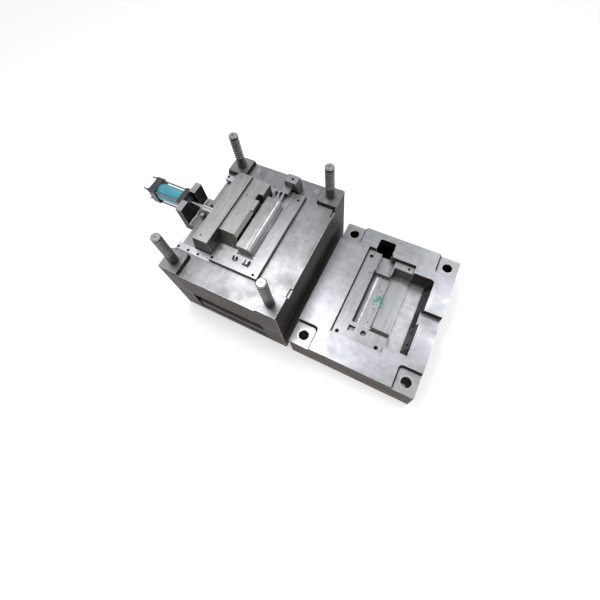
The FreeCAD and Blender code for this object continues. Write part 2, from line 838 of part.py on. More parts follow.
def tie_rod_places():
    return [(sy * tie_rod_offset, rod_axis + sz * tie_rod_offset)
            for sy in (-1, 1) for sz in (-1, 1)]


def cylinder_cap(x0, x1):
    """A square end cap with broken corners."""
    half = cylinder_cap_side / 2
    cap = block(x0, x1, -half, half, rod_axis - half, rod_axis + half)
    cap = cap.makeChamfer(cylinder_cap_chamfer, edges_along(cap, "x", lambda p: True))
    tools = [rod("x", (x0 - 1, y, z), x1 - x0 + 2, tie_rod_diameter + screw_hole_clearance)
             for y, z in tie_rod_places()]
    middle = (x0 + x1) / 2
    tools.append(rod("y", (middle, half - 18, rod_axis), 20, oil_port_diameter))
    return cut_all(cap, tools)


def cylinder_front_cap():
    """The rod-end cap with its gland nose."""
    x1 = -half_width - bracket_reach
    cap = cylinder_cap(x1 - front_cap_thickness, x1)
    cap = cap.fuse(rod("x", (x1, 0, rod_axis), gland_length, gland_diameter))
    bore = rod("x", (x1 - front_cap_thickness - 1, 0, rod_axis), 100,
               piston_rod_diameter + 2 * running_fit)
    return cap.cut(bore)


def cylinder_rear_cap():
    return cylinder_cap(-rear_cap_left, -tube_left)


def cylinder_tube():
    outer = rod("x", (-tube_left, 0, rod_axis), tube_length, tube_bore + 2 * tube_wall)
    inner = rod("x", (-tube_left - 1, 0, rod_axis), tube_length + 2, tube_bore)
    return outer.cut(inner)


def tie_rods():
    start = -rear_cap_left - tie_rod_overhang
    end = -half_width - bracket_reach + 22
    return Part.makeCompound([rod("x", (start, y, z), end - start, tie_rod_diameter)
                              for y, z in tie_rod_places()])


def tie_rod_nuts():
    """Hexagon nuts that draw the rear cap up on the tie rods."""
    nuts = []
    across_corners = tie_rod_diameter * 1.7 / math.cos(math.radians(30))
    for y, z in tie_rod_places():
        corners = []
        for turn in range(6):
            angle = math.radians(60 * turn + 30)
            corners.append((-rear_cap_left, y + across_corners / 2 * math.cos(angle),
                            z + across_corners / 2 * math.sin(angle)))
        nut = face_of(corners).extrude(Vector(-tie_rod_diameter * 0.8, 0, 0))
        nuts.append(nut.cut(rod("x", (-rear_cap_left - 20, y, z), 40,
                                tie_rod_diameter + 2 * running_fit)))
    return Part.makeCompound(nuts)


def piston():
    disc = rod("x", (-piston_front - piston_thickness, 0, rod_axis), piston_thickness,
               tube_bore - 2 * running_fit)
    return disc.cut(rod("x", (-piston_front - piston_thickness, 0, rod_axis), 100,
                        piston_rod_diameter))


def piston_rod():
    start = -piston_front - piston_thickness
    return rod("x", (start, 0, rod_axis), coupling_left() + 12 - start, piston_rod_diameter)


def coupling_left():
    return -heel_foot + 2


def rod_coupling():
    """The block that ties the piston rod's end to the slide."""
    x1 = -slide_rear + 4
    body = block(coupling_left(), x1, -24, 24, rod_axis - 30 + slide_clearance, rod_axis + 24)
    lean = [(-heel_foot, parting), (-slide_rear, slide_top), (-heel_foot - 20, slide_top)]
    body = body.cut(profile_along_y([lean[0], lean[1], lean[2]], -30, 30))
    return body.cut(rod("x", (coupling_left() - 1, 0, rod_axis), 13, piston_rod_diameter))


# ---- Core half: ejector set ----
def ejector_plate(z0, z1):
    half = half_width - spacer_width - ejector_plate_gap
    plate = chamfered_plate(2 * half, plate_length - 10, z0, z1)
    return cut_all(plate, [rod("z", (x, y, z0 - 1), z1 - z0 + 2,
                               pillar_diameter + 2 * pillar_clearance)
                           for x, y in four_ways(pillar_x, pillar_y)])


def ejector_screw_places():
    seat = ejector_base_bottom + medium_screw + 1
    spots = four_ways(half_width - ejector_screw_inset_x, half_length - ejector_screw_inset_y)
    return [("z", (x, y, seat), 36, medium_screw, 30, 1) for x, y in spots]


def ejector_base_plate():
    plate = ejector_plate(ejector_base_bottom, ejector_joint)
    tools = [screw_hole(*place) for place in ejector_screw_places()]
    for x, y in four_ways(guide_pin_x, guide_pin_y):
        tools.append(rod("z", (x, y, 0), ejector_joint + 1, guide_bush_outer))
    return cut_all(plate, tools)


def ejector_retainer_plate():
    plate = ejector_plate(ejector_joint, ejector_top)
    tools = [screw_hole(*place) for place in ejector_screw_places()]
    for x, y in four_ways(return_pin_x, return_pin_y):
        tools.append(rod("z", (x, y, 0), ejector_top + 1, return_pin_diameter + 1))
        tools.append(rod("z", (x, y, 0), ejector_joint + pin_head_height, return_pin_head + 1))
    for x, y in ejector_pin_places():
        tools.append(rod("z", (x, y, 0), ejector_top + 1, ejector_pin_diameter + 1))
        tools.append(rod("z", (x, y, 0), ejector_joint + pin_head_height,
                         ejector_pin_diameter * 1.6 + 1))
    for x, y in four_ways(guide_pin_x, guide_pin_y):
        tools.append(rod("z", (x, y, 0), ejector_top + 1, guide_bush_outer))
    return cut_all(plate, tools)


def headed_pin(x, y, diameter, head, top):
    """A pin on the ejector base plate with a head caught under the retainer plate."""
    edge = diameter * pin_edge_share
    section = [(0, ejector_joint), (head / 2, ejector_joint),
               (head / 2, ejector_joint + pin_head_height),
               (diameter / 2, ejector_joint + pin_head_height), (diameter / 2, top - edge),
               (diameter / 2 - edge, top), (0, top)]
    return turned(section, x, y)


def ejector_pins():
    pins = []
    for x, y in ejector_pin_places():
        top = boss_top if x < boss_right else raised
        pins.append(headed_pin(x, y, ejector_pin_diameter, ejector_pin_diameter * 1.6, top))
    return Part.makeCompound(pins)


def return_pins():
    return Part.makeCompound([headed_pin(x, y, return_pin_diameter, return_pin_head, parting)
                              for x, y in four_ways(return_pin_x, return_pin_y)])


def return_springs():
    """Coil springs round the return pins, between retainer plate and core plate."""
    height = spacer_top + 20 - ejector_top
    wire_width = (spring_outer - spring_inner) / 2
    wire_height = 5.0
    pitch = (height - wire_height) / spring_coils
    middle = (spring_outer + spring_inner) / 4
    springs = []
    for x, y in four_ways(return_pin_x, return_pin_y):
        path = Part.makeHelix(pitch, height - wire_height, middle)
        corner = Vector(middle - wire_width / 2, 0, -wire_height / 2)
        section = Part.makePolygon([corner, corner + Vector(wire_width, 0, 0),
                                    corner + Vector(wire_width, 0, wire_height),
                                    corner + Vector(0, 0, wire_height), corner])
        coil = Part.Wire(path).makePipeShell([section], True, True)
        coil.translate(Vector(x, y, ejector_top + wire_height / 2))
        springs.append(coil)
    return Part.makeCompound(springs)


def ejector_guide_pins():
    length = spacer_top + 19 - guide_pin_seat
    return Part.makeCompound([rod("z", (x, y, guide_pin_seat), length, guide_pin_diameter)
                              for x, y in four_ways(guide_pin_x, guide_pin_y)])


def ejector_guide_bushes():
    bushes = []
    for x, y in four_ways(guide_pin_x, guide_pin_y):
        bush = rod("z", (x, y, ejector_base_bottom), ejector_top - ejector_base_bottom,
                   guide_bush_outer)
        bushes.append(bush.cut(rod("z", (x, y, 0), ejector_top + 1,
                                   guide_pin_diameter + 2 * running_fit)))
    return Part.makeCompound(bushes)


def ejector_plate_screws():
    return Part.makeCompound([cap_screw(p[0], p[1], p[2], p[3], p[5])
                              for p in ejector_screw_places()])


def rest_buttons():
    spots = four_ways(half_width - spacer_width - rest_button_inset_x,
                      half_length - rest_button_inset_y)
    return Part.makeCompound([rod("z", (x, y, clamp_plate_thickness), rest_button_height,
                                  rest_button_diameter) for x, y in spots])


def support_pillars():
    pillars = []
    for x, y in four_ways(pillar_x, pillar_y):
        pillar = rod("z", (x, y, clamp_plate_thickness), spacer_height, pillar_diameter)
        hole = rod("z", (x, y, 0), clamp_plate_thickness + 30, medium_screw + 0.5)
        pillars.append(pillar.cut(hole))
    return Part.makeCompound(pillars)


def bottom_screws():
    """The long stack screws and the pillar screws, heads sunk in the bottom plate."""
    screws = [cap_screw("z", (x, y, large_screw + 2), spacer_top + 12, large_screw, 1)
              for x, y in stack_places()]
    screws += [cap_screw("z", (x, y, medium_screw + 2), clamp_plate_thickness + 12,
                         medium_screw, 1) for x, y in four_ways(pillar_x, pillar_y)]
    return Part.makeCompound(screws)


def screws_at(places):
    """Cap screws in a list of counterbored places, a little shorter than their holes."""
    return Part.makeCompound([cap_screw(p[0], p[1], p[2] - 4, p[3], p[5] if len(p) > 5 else -1)
                              for p in places])


# ---- Cavity half, modelled closed on the core half ----
def slide_pocket():
    """The room for the slide above the parting face, with the wedge slope at its heel."""
    half = slide_half_length + 1.0
    lean = slide_heel_lean / slide_height * slide_pocket_height
    section = [(-slide_front, parting - 1), (-slide_front, pocket_top),
               (-heel_foot + lean - 1, pocket_top), (-heel_foot - 1, parting),
               (-heel_foot - 1, parting - 1)]
    room = profile_along_y(section, -half, half)
    corners = [edge for edge in room.Edges if abs(edge.CenterOfMass.y - half) < 0.01
               and edge.BoundBox.ZLength > 50 and edge.CenterOfMass.x < -slide_front - 20]
    return room.makeFillet(16, corners)


def wedge_slab(side, clear):
    """The slab of one wedge plate, parallel to the slide's heel."""
    lean = slide_heel_lean / slide_height * slide_pocket_height
    inner = -heel_foot - 1
    outer = inner - wedge_plate_thickness - clear
    section = [(inner, parting), (inner + lean, pocket_top), (outer + lean, pocket_top),
               (outer, parting)]
    y0 = wedge_plate_offset - clear
    y1 = wedge_plate_offset + wedge_plate_length + clear
    if side < 0:
        y0, y1 = -y1, -y0
    return profile_along_y(section, y0, y1)


def wedge_screw_places():
    y = wedge_plate_offset + wedge_plate_length / 2
    seat = -heel_foot + 8
    return [("x", (seat, side * (y + shift), parting + 55), 45, small_screw, 40)
            for side in (-1, 1) for shift in (-30.0, 30.0)]


def cavity_insert_screw_places():
    seat = raised + medium_screw + 5
    right = insert_right - insert_screw_inset
    left = -insert_left + insert_screw_inset * 1.5
    front = -slide_half_length - insert_front_rail * 0.57
    spots = [(right, front), (left, front), (right, slide_half_length + 15)]
    return [("z", (x, y, seat), 100, medium_screw, 40, 1) for x, y in spots]


def cavity_plate():
    plate = chamfered_plate(plate_width, plate_length, parting, cavity_top)
    tools = [corner_pad(sx, sy, 5.0) for sx, sy in four_ways(1, 1)]
    tools.append(insert_rise())
    tools.append(profile_along_z(insert_outline(0.0), raised - 1, cavity_seat))
    tools.append(slide_pocket())
    tools.append(block(-half_width - 1, -slide_rear, -rod_notch_width / 2,
                       rod_notch_width / 2, parting - 1, parting + rod_notch_depth))
    tools += [wedge_slab(side, 0.2) for side in (-1, 1)]
    tools += [post_pocket(), cavity_block_room()]
    for x, y in four_ways(leader_x, leader_y):
        tools.append(rod("z", (x, y, parting), 300, bushing_outer + 2 * running_fit))
        tools.append(rod("z", (x, y, parting), interlock_height + bushing_head_thickness,
                         bushing_head + 0.5))
    tools += [screw_hole(*place) for place in wedge_screw_places()]
    tools += [screw_hole(*place) for place in cavity_insert_screw_places()]
    for x, y in cavity_clamp_places():
        tools.append(rod("z", (x, y, cavity_top - 30), 40, large_screw + screw_hole_clearance))
    for side in (-1, 1):
        start = (0, side * (half_length + 1), parting + cavity_lifting_height)
        tools.append(lifting_hole(start, -side))
    tools.append(rod("z", (0, 0, cavity_seat - 1), 100, sprue_nose_diameter + 6))
    return cut_all(plate, tools)


def post_pocket():
    """The deep rounded pocket that clears the rear post."""
    clear = post_pocket_clearance
    room = block(post_left - clear, post_right + clear, post_front - clear,
                 post_rear + post_pocket_rear_room, parting - 1, parting + post_height + 2)
    return room.makeFillet(12, edges_along(room, "z", lambda p: True))


def cavity_clamp_places():
    return four_ways(half_width - 40.0, half_length * 0.45)


def cavity_insert():
    """The fixed insert: front bar, ledge, and the hollow that the boss closes into."""
    body = profile_along_z(insert_outline(0.0), raised, cavity_seat)
    tools = [face_pocket(), boss_form(wall_of_moulding)]
    wall = wall_of_moulding
    tools.append(block(-face_insert_front - 5, boss_right - boss_edge_radius, -boss_front - wall,
                       boss_rear + wall, raised - 1, boss_top + wall))
    tools.append(block(boss_left, flange_right, -flange_front, flange_rear, raised - 1,
                       raised + flange_step))
    tools.append(cavity_block_room())
    tools.append(rear_bar_room())
    tools.append(post_pocket())
    tools.append(block(-cavity_block_left, post_left + post_shelf_width + wall, boss_rear,
                       insert_rear + 1, raised - 1, parting + shutoff_height + wall))
    tools += detail_rooms(raised - 1, raised + detail_rise + wall)
    tools += [screw_hole(*place) for place in cavity_insert_screw_places()]
    for x, y in pin_hole_places():
        tools.append(rod("z", (x, y, boss_top), 25, pin_hole_diameter))
    tools.append(rod("z", (0, 0, boss_top), 100, sprue_nose_diameter + 2 * running_fit))
    return cut_all(body, tools)


def pin_hole_places():
    """Small round holes in the floor of the hollow, along its left side."""
    return [(pin_hole_x, -96.0), (pin_hole_x, -24.0), (pin_hole_x + 10, -4.0), (pin_hole_x, 70.0)]


def cavity_block_room():
    """Where the grey shut-off block sits in the cavity insert, behind the hollow."""
    return block(-cavity_block_left, cavity_block_right, cavity_block_front, insert_rear,
                 raised - 1, cavity_seat)


def cavity_block():
    """The plain shut-off block behind the hollow, standing to the post shelf's level."""
    face = parting + shutoff_height + 1
    body = block(-cavity_block_left, cavity_block_right, cavity_block_front, insert_rear, face,
                 cavity_seat)
    body = body.makeChamfer(2, edges_along(body, "x", lambda p: p.z < face + 1))
    return body.cut(post_pocket())


def rear_bar_room():
    return block(-insert_left, -face_insert_front + 1, slide_half_length + 1, insert_leg_rear,
                 raised - 1, cavity_seat)


def cavity_rear_bar():
    """The narrow bar that shuts off behind the slide, with one screw."""
    bar = block(-insert_left, -face_insert_front + 1, slide_half_length + 1, insert_leg_rear,
                raised, cavity_seat)
    return bar.cut(screw_hole(*rear_bar_screw_place()))


def rear_bar_screw_place():
    return ("z", (-76, (slide_half_length + insert_leg_rear) / 2 + 1, raised + 16), 70,
            small_screw, 40, 1)


def guide_bushings():
    bushings = []
    face = raised
    radius = leader_diameter / 2 + running_fit
    for x, y in four_ways(leader_x, leader_y):
        section = [(radius + 3, face), (bushing_head / 2 - 1, face), (bushing_head / 2, face + 1),
                   (bushing_head / 2, face + bushing_head_thickness),
                   (bushing_outer / 2, face + bushing_head_thickness),
                   (bushing_outer / 2, face + bushing_length), (radius, face + bushing_length),
                   (radius, face + 3)]
        bushings.append(turned(section, x, y))
    return Part.makeCompound(bushings)


def top_clamp_plate():
    plate = chamfered_plate(plate_width, plate_length, cavity_top, closed_top)
    tools = [rod("z", (0, 0, closed_top - locating_ring_thickness), 50,
                 locating_ring_diameter + 0.2)]
    tools.append(rod("z", (0, 0, cavity_top - 1), 100, sprue_nose_diameter + 2 * running_fit))
    tools.append(rod("z", (0, 0, cavity_top + sprue_seat_height), 100, sprue_bushing_diameter + 2 * running_fit))
    for x, y in cavity_clamp_places():
        tools.append(screw_hole("z", (x, y, closed_top - large_screw - 2), 60, large_screw, 50))
    for x, y in ring_screw_spots():
        tools.append(rod("z", (x, y, cavity_top + sprue_seat_height), 60, small_screw + 0.5))
    for x, y in four_ways(leader_x, leader_y):
        tools.append(rod("z", (x, y, cavity_top - 1), 100, leader_diameter + 2))
    return cut_all(plate, tools)


def ring_screw_spots():
    radius = (locating_ring_diameter + sprue_bushing_diameter) / 4
    return [(radius * math.cos(math.radians(a)), radius * math.sin(math.radians(a)))
            for a in (90, 210, 330)]


def locating_ring():
    low = closed_top - locating_ring_thickness
    ring = rod("z", (0, 0, low), locating_ring_thickness, locating_ring_diameter)
    cone = Part.makeCone(ring_mouth_low, ring_mouth_high, locating_ring_thickness + 2,
                         Vector(0, 0, low - 1))
    tools = [cone] + [screw_hole("z", (x, y, closed_top - small_screw - 1), 60, small_screw, 50)
                      for x, y in ring_screw_spots()]
    return cut_all(ring, tools)


def sprue_bushing():
    low = boss_top + wall_of_moulding
    head = cavity_top + sprue_seat_height
    top = closed_top - locating_ring_thickness
    radius = sprue_nose_diameter / 2
    section = [(sprue_bore / 2, low), (radius, low), (radius, head),
               (sprue_bushing_diameter / 2, head), (sprue_bushing_diameter / 2, top),
               (8, top), (sprue_bore / 2, top - 4)]
    return turned(section, 0, 0)


def wedge_plates():
    plates = []
    for side in (-1, 1):
        slab = wedge_slab(side, 0.0)
        plates.append(cut_all(slab, [screw_hole(*place) for place in wedge_screw_places()]))
    return Part.makeCompound(plates)


def cavity_clamp_screws():
    return Part.makeCompound([cap_screw("z", (x, y, closed_top - large_screw - 2), 42, large_screw)
                              for x, y in cavity_clamp_places()])


def locating_ring_screws():
    return Part.makeCompound([cap_screw("z", (x, y, closed_top - small_screw - 1), 18,
                                        small_screw) for x, y in ring_screw_spots()])


# ---- Assembly ----
core_half = {
    "bottom_clamp_plate": bottom_clamp_plate(),
    "spacer_block_left": spacer_block(-1),
    "spacer_block_right": spacer_block(1),
    "support_pillars": support_pillars(),
    "rest_buttons": rest_buttons(),
    "bottom_screws": bottom_screws(),
    "core_plate": core_plate(),
    "leader_pins": leader_pins(),
    "core_insert": core_insert(),
    "core_boss": core_boss(),
    "core_detail_inserts": core_detail_inserts(),
    "core_insert_screws": screws_at(insert_screw_places()),
    "rear_post_block": rear_post_block(),
    "rear_post_screw": screws_at([post_screw_place()]),
    "rear_shutoff_block": rear_shutoff_block(),
    "wear_plate": wear_plate(),
    "front_gib": gib(-1),
    "rear_gib": gib(1),
    "gib_screws": screws_at(gib_screw_places()),
    "slide_stops": slide_stops(),
    "cylinder_bracket": cylinder_bracket(),
    "bracket_screws": screws_at(bracket_screw_places()),
    "cylinder_front_cap": cylinder_front_cap(),
    "cylinder_tube": cylinder_tube(),
    "cylinder_rear_cap": cylinder_rear_cap(),
    "tie_rods": tie_rods(),
    "tie_rod_nuts": tie_rod_nuts(),
    "slide_carrier": slide_carrier(),
    "slide_face_insert": slide_face_insert(),
    "slide_core_pins": slide_core_pins(),
    "slide_screws": slide_screws(),
    "rod_coupling": rod_coupling(),
    "piston_rod": piston_rod(),
    "piston": piston(),
    "ejector_base_plate": ejector_base_plate(),
    "ejector_retainer_plate": ejector_retainer_plate(),
    "ejector_plate_screws": ejector_plate_screws(),
    "ejector_guide_pins": ejector_guide_pins(),
    "ejector_guide_bushes": ejector_guide_bushes(),
    "ejector_pins": ejector_pins(),
    "return_pins": return_pins(),
    "return_springs": return_springs(),
}

cavity_half = {
    "cavity_plate": cavity_plate(),
    "top_clamp_plate": top_clamp_plate(),
    "cavity_insert": cavity_insert(),
    "cavity_block": cavity_block(),
    "cavity_rear_bar": cavity_rear_bar(),
    "rear_bar_screw": screws_at([rear_bar_screw_place()]),
    "cavity_insert_screws": screws_at(cavity_insert_screw_places()),
    "guide_bushings": guide_bushings(),
    "wedge_plates": wedge_plates(),
    "wedge_plate_screws": screws_at(wedge_screw_places()),
    "sprue_bushing": sprue_bushing(),
    "locating_ring": locating_ring(),
    "locating_ring_screws": locating_ring_screws(),
    "cavity_clamp_screws": cavity_clamp_screws(),
}

os.makedirs("parts", exist_ok=True)
for name, shape in core_half.items():
    shape.exportStep("parts/" + name + ".step")
for name, shape in cavity_half.items():
    turn_over(shape).exportStep("parts/" + name + ".step")
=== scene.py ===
"""Looks of an open injection mould base: ground and milled tool steel, hardened pins,
a painted hydraulic cylinder and black oxide screws, on a pale studio floor."""

import math

import bpy
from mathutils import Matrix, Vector

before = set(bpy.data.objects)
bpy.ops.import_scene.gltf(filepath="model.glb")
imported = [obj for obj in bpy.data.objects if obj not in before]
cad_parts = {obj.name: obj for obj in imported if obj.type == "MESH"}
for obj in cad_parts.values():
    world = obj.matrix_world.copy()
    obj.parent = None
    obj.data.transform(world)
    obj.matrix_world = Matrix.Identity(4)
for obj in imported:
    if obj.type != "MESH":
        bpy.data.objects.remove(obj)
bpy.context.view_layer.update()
MM = 0.001

# How a pattern is drawn out: a small value stretches it along that axis.
ALONG_X = (0.05, 1, 1)
ALONG_Y = (1, 0.05, 1)
ALONG_Z = (1, 1, 0.05)
EVEN = (1, 1, 1)

# Sizes of the steel's surface patterns, in millimetres.
WHEEL_LINE = 7.0     # spacing of grinding lines, drawn far coarser than they are to show
LINE_RELIEF = 0.03   # depth of those lines
OIL_CLOUD = 130.0    # patches in which a wiped oil film dries
STAIN = 24.0         # smaller blots of rust and old oil
EDGE_WEAR = 2.2      # how far in from an edge handling rubs the steel bright
GRIME_AND_SHADE_REACH = 16.0   # how far the corner darkening reaches: painted shade, standing also for dirt

# Tones that every steel finish shares.
RUST = "#57402A"
BARE_EDGE = "#E6E8EE"
LINE_LIGHT = "#F4F4F6"
LINE_SHADE = "#55534F"
# Dark laid into corners: painted shade, standing also for dirt.
GRIME_AND_SHADE = "#181614"

# Studio: sizes and places in metres, powers in watts.
FLOOR_SIZE = 40.0
FLOOR_GLOW = 0.36    # lifts the floor to white where the eye meets it
WORLD_LEVEL = 0.8
CEILING = "#BCBCC0"
LAMPS = (
    # name, place, target, size, power
    ("overhead", (-0.4, 0.1, 2.7), (0.25, -0.3, 0.2), 1.0, 26.0),
    ("side", (2.2, -1.2, 2.0), (0.3, 0.0, 0.2), 1.4, 8.0),
    ("edge_light", (1.25, 1.0, 2.3), (0.1, 0.0, 0.4), 0.6, 8.0),
)


# ---- Studio ----
def linear(code):
    """A colour written as sRGB hex, as the linear values that a shader takes."""
    levels = [int(code[i:i + 2], 16) / 255 for i in (1, 3, 5)]
    curved = [v / 12.92 if v <= 0.04045 else ((v + 0.055) / 1.055) ** 2.4 for v in levels]
    return curved + [1.0]


def add(tree, kind, links=None, **settings):
    """Adds one node with its settings, and links or values for its sockets."""
    made = tree.nodes.new("ShaderNode" + kind)
    for name, value in settings.items():
        setattr(made, name, value)
    for socket, value in (links or {}).items():
        if isinstance(value, bpy.types.Node):
            value = value.outputs[0]
        if isinstance(value, bpy.types.NodeSocket):
            tree.links.new(value, made.inputs[socket])
        else:
            made.inputs[socket].default_value = value
    return made


def new_material(name):
    """An empty material and its node tree."""
    material = bpy.data.materials.new(name)
    material.use_nodes = True
    material.node_tree.nodes.clear()
    return material, material.node_tree


def seen_directly(tree):
    """One where the eye, or a reflection, looks straight at the surface."""
    path = add(tree, "LightPath")
    glossy = add(tree, "Math", {0: path.outputs["Is Camera Ray"],
                                1: path.outputs["Is Glossy Ray"]}, operation="MAXIMUM")
    return add(tree, "Math", {0: glossy, 1: path.outputs["Is Transmission Ray"]},
               operation="MAXIMUM")


def studio_world(level, ceiling):
    """A white room with a greyer ceiling: white wherever the eye meets its walls."""
    world = bpy.data.worlds.new("white_room")
    world.use_nodes = True
    tree = world.node_tree
    tree.nodes.clear()
    ray = add(tree, "SeparateXYZ", {"Vector": add(tree, "TexCoord")})
    height = add(tree, "MapRange", {"Value": ray.outputs["Z"], "From Min": 0.35,
                                    "From Max": 0.8}, interpolation_type="SMOOTHSTEP")
    room = add(tree, "MixRGB", {"Fac": height, "Color1": linear("#FFFFFF"),
                                "Color2": linear(ceiling)})
    strength = add(tree, "MapRange", {"Value": seen_directly(tree), "To Min": level,
                                      "To Max": 1.0})
    light = add(tree, "Background", {"Color": room, "Strength": strength})
    add(tree, "OutputWorld", {"Surface": light})
    bpy.context.scene.world = world


def studio_floor(size):
    """A pale floor that reads as white and keeps the soft shadow of the mould."""
    material, tree = new_material("pale_floor")
    seen = seen_directly(tree)
    colour = add(tree, "MixRGB", {"Fac": seen, "Color1": linear("#D9D9D9"),
                                  "Color2": linear("#FFFFFF")})
    matt = add(tree, "BsdfDiffuse", {"Color": colour})
    lift = add(tree, "Math", {0: seen, 1: FLOOR_GLOW}, operation="MULTIPLY")
    glow = add(tree, "Emission", {"Color": linear("#FFFFFF"), "Strength": lift})
    both = add(tree, "AddShader", {0: matt, 1: glow})
    add(tree, "OutputMaterial", {"Surface": both})
    mesh = bpy.data.meshes.new("floor")
    half = size / 2
    corners = [(x * half, y * half, 0) for x, y in ((-1, -1), (1, -1), (1, 1), (-1, 1))]
    mesh.from_pydata(corners, [], [(0, 1, 2, 3)])
    mesh.materials.append(material)
    floor = bpy.data.objects.new("floor", mesh)
    bpy.context.scene.collection.objects.link(floor)


def soft_lamp(name, place, target, size, power):
    """A large square softbox aimed at a point."""
    data = bpy.data.lights.new(name, "AREA")
    data.size = size
    data.energy = power
    lamp = bpy.data.objects.new(name, data)
    lamp.location = place
    aim = Vector(target) - Vector(place)
    lamp.rotation_euler = aim.to_track_quat("-Z", "Y").to_euler()
    bpy.context.scene.collection.objects.link(lamp)


def camera():
    """A view from above the gap's front end, held with a slight roll to the left."""
    data = bpy.data.cameras.new("view")
    data.sensor_width = 36.0
    data.lens = 22.57
    data.shift_x = -0.0130
    data.shift_y = -0.0626
    data.clip_end = 50.0
    eye = bpy.data.objects.new("view", data)
    eye.location = (0.6982, -0.6754, 1.7682)
    eye.rotation_euler = [math.radians(angle) for angle in (27.909, 3.902, 26.172)]
    bpy.context.scene.collection.objects.link(eye)
    bpy.context.scene.camera = eye


# ---- Surface patterns shared by the finishes ----
def grain(tree, place, spacing, stretch=EVEN, detail=3.0):
    """Noise whose grains are spacing mm apart, drawn out along the axes in stretch."""
    mapped = add(tree, "Mapping", {"Vector": place, "Scale": stretch})
    return add(tree, "TexNoise", {"Vector": mapped, "Scale": 1 / (spacing * MM),
                                  "Detail": detail, "Roughness": 0.6}).outputs["Fac"]


def band(tree, value, low, high, to_low=0.0, to_high=1.0):
    """Stretches a value between low and high to run from to_low to to_high."""
    return add(tree, "MapRange", {"Value": value, "From Min": low, "From Max": high,
                                  "To Min": to_low, "To Max": to_high})


def facing(tree, axis, low, high):
    """One where the surface faces along an axis, zero where it doesn't."""
    normal = add(tree, "TexCoord").outputs["Normal"]
    parts = add(tree, "SeparateXYZ", {"Vector": normal})
    return band(tree, parts.outputs[axis], low, high)


def blend_colour(tree, factor, first, second, mode="MIX"):
    """Lays the second colour over the first by a factor."""
    return add(tree, "MixRGB", {"Fac": factor, "Color1": first, "Color2": second},
               blend_type=mode)


def worn_edge(tree, radius):
    """One along sharp edges, where handling has rubbed the steel bright."""
    bevel = add(tree, "Bevel", {"Radius": radius * MM}, samples=4)
    normal = add(tree, "NewGeometry").outputs["Normal"]
    match = add(tree, "VectorMath", {0: bevel, 1: normal}, operation="DOT_PRODUCT")
    return band(tree, match.outputs["Value"], 0.99, 0.86)


def spot(tree, place, centre, radius, grains):
    """Blots round a point, radius mm wide: dried compound, and painted shade in a deep
    pocket.

    They are broken up where grains, in mm, is less than radius, and whole otherwise.
    """
    away = add(tree, "VectorMath", {0: place, 1: [v * MM for v in centre]},
               operation="DISTANCE")
    reach = band(tree, away.outputs["Value"], radius * MM, radius * 0.7 * MM)
    low = 0.47 if grains < radius else 0.0
    blots = band(tree, grain(tree, place, grains, detail=4.0), low, low + 0.08)
    return add(tree, "Math", {0: reach, 1: blots}, operation="MULTIPLY")


# ---- How each kind of finish is made ----
def steel(name, face, side, roughness, lay=ALONG_X, clouds=0.3, rust=0.0,
          side_rough=0.5, cloud_tone="#4E4D4C", line_depth=0.12, spots=()):
    """Machined tool steel.

    face is the tone of the ground upper faces and side that of the milled, oiled sides;
    the side tone is darker partly as painted shade.
    lay draws the wheel's lines out along one axis; clouds is how unevenly the oil film
    lies; rust is the brown on the sides; spots lists (centre, radius, grain in mm,
    colour) of dried compound, and of painted shade in deep pockets.
    """
    material, tree = new_material(name)
    place = add(tree, "TexCoord").outputs["Object"]
    up = facing(tree, "Z", 0.55, 0.85)
    lines = grain(tree, place, WHEEL_LINE, lay)
    wide = grain(tree, place, OIL_CLOUD, detail=5.0)
    small = grain(tree, place, STAIN, detail=6.0)
    sides = blend_colour(tree, band(tree, small, 0.35, 0.8, 0.0, rust), linear(side),
                         linear(RUST))
    # Faces not turned up take the side tone: partly their milled finish, partly painted
    # shade.
    tone = blend_colour(tree, up, sides, linear(face))
    tone = blend_colour(tree, band(tree, wide, 0.38, 0.68, 0.0, clouds), tone,
                        linear(cloud_tone))
    tone = blend_colour(tree, band(tree, small, 0.45, 0.75, 0.0, clouds * 0.6), tone,
                        linear(cloud_tone))
    streak = band(tree, lines, 0.3, 0.72, 0.0, line_depth)
    tone = blend_colour(tree, streak, tone, linear(LINE_LIGHT), "SOFT_LIGHT")
    tone = blend_colour(tree, band(tree, lines, 0.3, 0.5, line_depth, 0.0), tone,
                        linear(LINE_SHADE), "MULTIPLY")
    tone = blend_colour(tree, worn_edge(tree, EDGE_WEAR), tone, linear(BARE_EDGE))
    # Corners darken by how enclosed they are: painted shade, standing also for dirt.
    corner = add(tree, "AmbientOcclusion", {"Distance": GRIME_AND_SHADE_REACH * MM}, samples=4)
    grime_and_shade = band(tree, corner.outputs["AO"], 0.25, 0.85, 0.7, 0.0)
    tone = blend_colour(tree, grime_and_shade, tone, linear(GRIME_AND_SHADE))
    for centre, radius, grains, colour in spots:
        tone = blend_colour(tree, spot(tree, place, centre, radius, grains), tone,
                            linear(colour))
    rough = band(tree, up, 0.0, 1.0, side_rough, roughness)
    for unevenness in (band(tree, lines, 0.25, 0.75, -0.05, 0.07),
                       band(tree, wide, 0.35, 0.7, -0.03, 0.1)):
        rough = add(tree, "Math", {0: rough, 1: unevenness}, operation="ADD")
    relief = add(tree, "Bump", {"Height": lines, "Distance": LINE_RELIEF * MM,
                                "Strength": 0.5})
    shader = add(tree, "BsdfPrincipled", {"Base Color": tone, "Metallic": 1.0,
                                          "Roughness": rough, "Normal": relief})
    add(tree, "OutputMaterial", {"Surface": shader})
    return material


